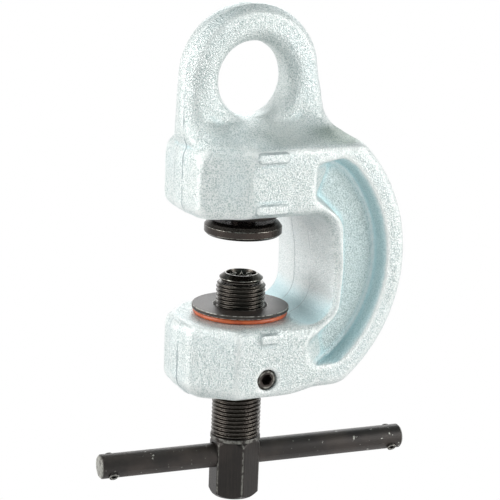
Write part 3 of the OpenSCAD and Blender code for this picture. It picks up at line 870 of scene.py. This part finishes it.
screw_black = black_look(
    "thread_oxide", 0.08, 0.8, marks=thread_dents, metal=1.0, black=OILED, brown=OILED_BROWN)
thread_low = COLLAR_TOP - 0.4
turns = math.ceil((THREAD_TOP - thread_low) / THREAD_PITCH) + 1
inputs = (
    ("Rows", "Int", turns * ROWS_PER_TURN + 1), ("Segments", "Int", THREAD_SIDES + 1),
    ("Pitch", "Float", THREAD_PITCH * MM), ("Depth", "Float", THREAD_DEPTH * MM),
    ("Crest", "Float", THREAD_CREST * MM), ("Chamfer", "Float", THREAD_CHAMFER * MM),
    ("Length", "Float", (THREAD_TOP - thread_low) * MM), ("Base", "Float", thread_low * MM),
    ("Material", "Material", screw_black))
tree, source, sink = flow("screw_thread", inputs)
given = source.outputs
grid = tree.nodes.new("GeometryNodeMeshGrid")
tree.links.new(given["Segments"], grid.inputs["Vertices X"])
tree.links.new(given["Rows"], grid.inputs["Vertices Y"])
here = tree.nodes.new("ShaderNodeSeparateXYZ")
tree.links.new(tree.nodes.new("GeometryNodeInputPosition").outputs[0], here.inputs[0])
around = sum_up(tree, "ADD", here.outputs[0], 0.5)
row = sum_up(tree, "ADD", here.outputs[1], 0.5)
row = sum_up(tree, "MULTIPLY", row, sum_up(tree, "SUBTRACT", given["Rows"], 1))
lap = sum_up(tree, "DIVIDE", sum_up(tree, "ROUND", row), ROWS_PER_TURN)
rise = sum_up(tree, "MULTIPLY", sum_up(tree, "ADD", sum_up(tree, "SUBTRACT", lap, 1), around), given["Pitch"])
rise = sum_up(tree, "MAXIMUM", sum_up(tree, "MINIMUM", rise, given["Length"]), 0)
phase = sum_up(tree, "FRACT", sum_up(tree, "ADD", lap, 0.001))
flank = sum_up(tree, "MULTIPLY", sum_up(tree, "ABSOLUTE", sum_up(tree, "SUBTRACT", phase, 0.5)), 2)
flank = ranged(tree, flank, 0.10, 0.90)
radius = sum_up(tree, "MULTIPLY_ADD", sum_up(tree, "SUBTRACT", flank, 1), given["Depth"], given["Crest"])
left = sum_up(tree, "SUBTRACT", sum_up(tree, "SUBTRACT", given["Length"], rise), given["Chamfer"])
radius = sum_up(tree, "MINIMUM", radius, sum_up(tree, "ADD", given["Crest"], left))
angle = sum_up(tree, "MULTIPLY", around, 2 * math.pi)
spot = along(tree, sum_up(tree, "MULTIPLY", radius, sum_up(tree, "COSINE", angle)),
             sum_up(tree, "MULTIPLY", radius, sum_up(tree, "SINE", angle)),
             sum_up(tree, "ADD", rise, given["Base"]))
bend = tree.nodes.new("GeometryNodeSetPosition")
tree.links.new(grid.outputs["Mesh"], bend.inputs["Geometry"])
tree.links.new(spot, bend.inputs["Position"])
lid = tree.nodes.new("GeometryNodeMeshCircle")
lid.fill_type = "NGON"
lid.inputs["Vertices"].default_value = THREAD_SIDES
tree.links.new(sum_up(tree, "SUBTRACT", given["Crest"], given["Chamfer"]), lid.inputs["Radius"])
top = along(tree, z=sum_up(tree, "ADD", given["Base"], given["Length"]))
both = tree.nodes.new("GeometryNodeJoinGeometry")
tree.links.new(bend.outputs[0], both.inputs[0])
tree.links.new(shifted(tree, lid.outputs[0], top), both.inputs[0])
weld = tree.nodes.new("GeometryNodeMergeByDistance")
weld.inputs["Distance"].default_value = 0.004 * MM
tree.links.new(both.outputs[0], weld.inputs["Geometry"])
ended(tree, source, sink, weld.outputs[0])
thread = grown("screw_thread", tree, inputs)
smoothed(thread.data, 75)

# Collar and hexagon head, as rings of points whose radius is that of the hexagon or of its chamfers. A row
# is its height, its radius or limit, and what it belongs to.
PLAIN, HEXAGON, RIM = 0, 1, 2
sixth = np.array([*np.linspace(-27, 27, 19), 29.2, 30.0, 30.8])
angles = np.concatenate([sixth + 60 * k for k in range(6)])
inside = (angles + 30) % 60 - 30
flat_r = HEX_R / np.cos(np.radians(inside))
corner = np.where(np.abs(inside) > HEX_BRIGHT, 1.0, 0.0)
heights = [*np.linspace(HEAD_LOW, HEAD_LOW + 3, 16), *np.linspace(HEAD_LOW + 4, HEAD_TOP - 3, 12),
           *np.linspace(HEAD_TOP - 2.4, HEAD_TOP, 14)]
rows = [(HEAD_LOW, 0.0, PLAIN), (HEAD_LOW, 4.0, PLAIN)]
for z in heights:
    low_chamfer = HEX_R - HEX_LOW_CUT + (z - HEAD_LOW) * HEX_LOW_SLOPE
    top_chamfer = HEX_R + (HEAD_TOP - z) * HEX_TOP_SLOPE
    rows.append((z, min(low_chamfer, HEX_LIMIT, top_chamfer), HEXAGON))
collar = softened([
    (HEX_R, HEAD_TOP), (COLLAR_R, HEAD_TOP + 0.05), (COLLAR_R, COLLAR_TOP - COLLAR_BEVEL),
    (COLLAR_R - 1.1 * COLLAR_BEVEL, COLLAR_TOP), (10.5, COLLAR_TOP)], 0.25)
for r, z in collar:
    rows.append((z, r, RIM if r > COLLAR_R - 0.12 else PLAIN))
rows.append((COLLAR_TOP, 0.0, PLAIN))
ring = np.radians(angles + 30) + HEX_TURN
points, bright = [], []
for z, limit, kind in rows:
    r = np.minimum(flat_r, limit) if kind == HEXAGON else np.full(len(ring), limit)
    points.append(np.stack([r * np.cos(ring), r * np.sin(ring), np.full(len(ring), z)], -1))
    bright.append(corner if kind == HEXAGON else np.full(len(ring), 1.0 if kind == RIM else 0.0))
m = len(ring)
faces = [(j * m + i, j * m + (i + 1) % m, (j + 1) * m + (i + 1) % m, (j + 1) * m + i)
         for j in range(len(rows) - 1) for i in range(m)]
mesh = bpy.data.meshes.new("screw_head")
mesh.from_pydata((np.concatenate(points) * MM).tolist(), [], faces)
point_layer(mesh, "edge", np.concatenate(bright))
head = place("screw_head", welded(mesh, 38))

# The cross hole, bored along the tee bar's direction
bar_place = (Matrix.Translation((0, 0, HOLE_Z * MM)) @ Matrix.Rotation(BAR_TURN, 4, "Z")
             @ Matrix.Rotation(math.pi / 2, 4, "Y"))
build = bmesh.new()
bmesh.ops.create_cone(build, segments=96, radius1=HOLE_R * MM, radius2=HOLE_R * MM, depth=60 * MM,
                      cap_ends=True, matrix=bar_place)
drill = place("drill", bpy.data.meshes.new("drill"))
build.to_mesh(drill.data)
build.free()
hole = head.modifiers.new("hole", "BOOLEAN")
hole.object = drill
hole.solver = "EXACT"
settled(head)
bpy.data.objects.remove(drill)
smoothed(head.data, 38)


def drawn_streaks(tree, where):
    """Fine upright streaks of drawn hexagon stock."""
    return ranged(tree, noise_of(tree, stretched(tree, where, (1, 1, 0.03)), 1500.0, 3.0, 0.7), 0.4, 0.7)


def corner_wear(tree, where):
    """Dull bare steel along the hexagon's corners and the collar's rims."""
    return sum_up(tree, "MULTIPLY", edge_wear(tree, where), 0.34)


head_black = black_look("hexagon_oxide", 0.30, 0.5, marks=drawn_streaks, wear=corner_wear,
                        black=HEAD_BLACK, brown=HEAD_BROWN)
attached(dressed(thread, screw_black), "screw", "blackened_steel", "clamp_screw")
attached(dressed(head, head_black), "screw", "blackened_steel", "clamp_screw")

# Crown point
# The screw's hardened nose: a ring with a sharp bevel round a cup, where a crown of small teeth stands. It
# keeps still on the load while the screw turns behind it.
POINT_LOW = THREAD_TOP + 0.4
POINT_TOP = -94.9
POINT_R = 10.6
NECK_R = POINT_R - 1
CUP_Z = POINT_TOP - 3
STEM_R = 4
STEM_LOW = -115.3
GROOVE_R = 3.2
GROOVE_TOP = -111.8
GROOVE_LOW = -114.0
GROOVE_LEAN = 0.2
point_black = black_look("point_oxide", 0.14, 0.3, wear=edge_wear, metal=1.0, black=OILED, brown=OILED_BROWN)
nose = turned("crown_point", [
    (0, CUP_Z), (POINT_R - 3.8, CUP_Z), (POINT_R - 3.2, POINT_TOP), (POINT_R - 2.7, POINT_TOP),
    (POINT_R, POINT_LOW + 1.9), (POINT_R, POINT_LOW + 1.5), (NECK_R, POINT_LOW + 0.6), (NECK_R, POINT_LOW),
    (STEM_R, POINT_LOW), (STEM_R, GROOVE_TOP), (GROOVE_R, GROOVE_TOP - GROOVE_LEAN),
    (GROOVE_R, GROOVE_LOW + GROOVE_LEAN), (STEM_R, GROOVE_LOW), (STEM_R, STEM_LOW), (0, STEM_LOW)], 0.12)


def worn_tip(tree, where):
    """Steel that is nearly bare, with some finish left."""
    return ranged(tree, noise_of(tree, where, 500.0), 0.3, 0.55, 0.3, 0.9)


worn = black_look("worn_tooth", 0.30, 0.2, wear=worn_tip, metal=0.7)
inputs = (("Teeth", "Int", 8), ("Ring", "Float", 5.1 * MM), ("Wide", "Float", 3.6 * MM),
          ("High", "Float", 2.2 * MM), ("Long", "Float", 3.4 * MM), ("Floor", "Float", CUP_Z * MM),
          ("Turn", "Float", math.radians(62)), ("Material", "Material", point_black))
tree, source, sink = flow("crown_teeth", inputs)
given = source.outputs
tooth = tree.nodes.new("GeometryNodeMeshCylinder")
tooth.inputs["Vertices"].default_value = 3
tree.links.new(sum_up(tree, "DIVIDE", given["Wide"], math.sqrt(3)), tooth.inputs["Radius"])
tree.links.new(given["Long"], tooth.inputs["Depth"])
tip_up = shifted(tree, tooth.outputs["Mesh"], rotation=along(tree, y=-math.pi / 2))
tall = sum_up(tree, "DIVIDE", given["High"], sum_up(tree, "MULTIPLY", given["Wide"], math.sqrt(3) / 2))
seats = tree.nodes.new("GeometryNodeMeshCircle")
tree.links.new(given["Teeth"], seats.inputs["Vertices"])
tree.links.new(given["Ring"], seats.inputs["Radius"])
stand = tree.nodes.new("GeometryNodeInstanceOnPoints")
tree.links.new(seats.outputs[0], stand.inputs["Points"])
tree.links.new(shifted(tree, tip_up, scale=along(tree, 1, 1, tall)), stand.inputs["Instance"])
share = sum_up(tree, "DIVIDE", tree.nodes.new("GeometryNodeInputIndex").outputs[0], given["Teeth"])
tree.links.new(along(tree, z=sum_up(tree, "MULTIPLY", share, 2 * math.pi)), stand.inputs["Rotation"])
height = sum_up(tree, "MULTIPLY_ADD", given["High"], 1 / 3, given["Floor"])
turn = along(tree, z=given["Turn"])
ended(tree, source, sink, shifted(tree, stand.outputs[0], along(tree, z=height), turn))
teeth = dressed(grown("crown_teeth", tree, inputs), point_black, worn)
attached(rimmed(teeth, 0.2, 1, material=1), "point", "blackened_steel", "screw_point")
attached(dressed(nose, point_black), "point", "blackened_steel", "screw_point")

# Tee bar and roll pins
# A plain round bar that slides through the head, and a slotted spring pin near each end that stops it. The
# black finish is chipped near the ends and rubbed off the end faces.
BAR_LEAN = math.radians(1.2)
BAR_LONG = 158.0
BAR_SHIFT = 9.5
CHIPS_FROM = 20
CHIPS_TO = 78
bar_along = (Matrix.Rotation(BAR_TURN, 4, "Z") @ Matrix.Rotation(-BAR_LEAN, 4, "Y")) @ Vector((1, 0, 0))


def bar_wear(tree, where):
    """Chips that thicken towards the bar's ends, and rubbed ends."""
    made = tree.nodes.new("ShaderNodeVectorMath")
    made.operation = "DOT_PRODUCT"
    made.inputs[1].default_value = bar_along
    tree.links.new(where, made.inputs[0])
    middle = bar_along.z * HOLE_Z * MM + BAR_SHIFT * MM
    away = sum_up(tree, "ABSOLUTE", sum_up(tree, "SUBTRACT", made.outputs["Value"], middle))
    chips = ranged(tree, noise_of(tree, where, 420.0, 4.0, 0.62), 0.66, 0.685)
    thicker = ranged(tree, away, CHIPS_FROM * MM, CHIPS_TO * MM, 0.25, 1.0)
    chips = sum_up(tree, "MULTIPLY", chips, thicker)
    rubbed = ranged(tree, away, (BAR_LONG / 2 - 1.0) * MM, (BAR_LONG / 2 - 0.25) * MM)
    patchy = ranged(tree, noise_of(tree, where, 260.0, 3.0), 0.3, 0.6, 0.15, 0.6)
    rubbed = sum_up(tree, "MULTIPLY", rubbed, patchy)
    return sum_up(tree, "MAXIMUM", chips, rubbed, clamp=True)


bar_black = black_look("bar_oxide", 0.36, 0.35, wear=bar_wear, metal=0.35)
tee_bar = rimmed(merged_copy("tee_bar", "tee_bar"), 0.3)
attached(dressed(tee_bar, bar_black), "bar", "blackened_steel", "tee_bar")
for side in ("left", "right"):
    pin = merged_copy(f"roll_pin_{side}", f"roll_pin_{side}")
    dressed(pin, plain_black, worn)
    attached(rimmed(pin, 0.3, material=1), "bar", "blackened_steel", f"roll_pin_{side}")

# Ball seat, swivel pad and snap rings
# The pad is a turned and hardened disc on a ball that sits in the cup above it. Concentric teeth on its face
# bite into the load, and a wire ring in the cup keeps the ball in.
PAD_R = 18.8
PAD_LOW = -75.5
PAD_TOP = PAD_LOW + 7.2
TOOTH_DEPTH = 0.45
TOOTH_FIRST = 2.2
TOOTH_PITCH = 1.9
TOOTH_COUNT = 8
BALL_Z = -56.3
BALL_R = 9.0
BALL_NECK_R = 5.8
BALL_NECK_Z = BALL_Z - 7.2
PAD_BLACK = (0.04, 0.036, 0.033, 1)
WIRE = (0.30, 0.30, 0.31, 1)
WIRE_PALE = (0.42, 0.42, 0.43, 1)
pad_black = black_look(
    "pad_oxide", 0.16, 0.3, marks=turning_rings, wear=edge_wear, metal=0.9, black=PAD_BLACK)
face = [(0, PAD_LOW + TOOTH_DEPTH)]
for k in range(TOOTH_COUNT):
    r = TOOTH_FIRST + k * TOOTH_PITCH
    face += [(r, PAD_LOW + TOOTH_DEPTH), (r + 0.75, PAD_LOW), (r + 1.05, PAD_LOW)]
edge = [(PAD_R - 1.2, PAD_LOW), (PAD_R, PAD_LOW + 1.2), (PAD_R, PAD_LOW + 4.4),
        (PAD_R - 0.5, PAD_LOW + 4.9), (PAD_R - 1.3, PAD_LOW + 6.1), (PAD_R - 3.2, PAD_TOP)]
ball = [(BALL_R * math.cos(math.radians(a)), BALL_Z + BALL_R * math.sin(math.radians(a)))
        for a in range(-45, 91, 5)]
neck = [(BALL_NECK_R, PAD_TOP), (BALL_NECK_R, BALL_NECK_Z)]
pad = turned("swivel_pad", face + edge + neck + ball, 0.18)
attached(dressed(pad, pad_black), "pad", "blackened_steel", "swivel_pad")
seat = rimmed(merged_copy("pad_seat", "pad_seat"), 0.3, 3)
attached(dressed(seat, plain_black), "frame", "blackened_steel", "pad_seat")

wire, tree, shader = new_material("spring_wire")
drawn = noise_of(tree, object_place(tree), 800.0)
tree.links.new(mixed(tree, drawn, WIRE, WIRE_PALE), shader.inputs["Base Color"])
shader.inputs["Metallic"].default_value = 1.0
shader.inputs["Roughness"].default_value = 0.35
for name in ("point_snap_ring", "pad_snap_ring"):
    dressed(nodes[name], wire)
